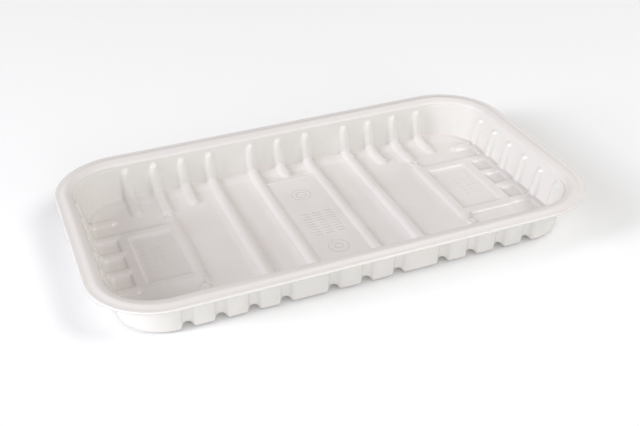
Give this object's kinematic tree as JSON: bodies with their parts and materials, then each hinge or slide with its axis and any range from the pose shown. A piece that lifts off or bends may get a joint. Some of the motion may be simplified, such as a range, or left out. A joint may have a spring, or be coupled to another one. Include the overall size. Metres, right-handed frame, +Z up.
{
  "type": "thermoformed food tray",
  "caption": "Shallow rectangular food tray of thin white plastic with rounded corners, a flanged rim, ribbed drafted walls and a ribbed floor.",
  "frame": {"origin": "middle of the underside, on the plane the tray stands on", "axes": "+X along the tray's length, +Y along its width, +Z up out of the open side"},
  "size_m": [0.27, 0.1546, 0.0239],
  "materials": {
    "white_plastic": "glossy white sheet, slightly translucent"
  },
  "bodies": {
    "root": {"tray": "white_plastic"}
  },
  "joints": []
}
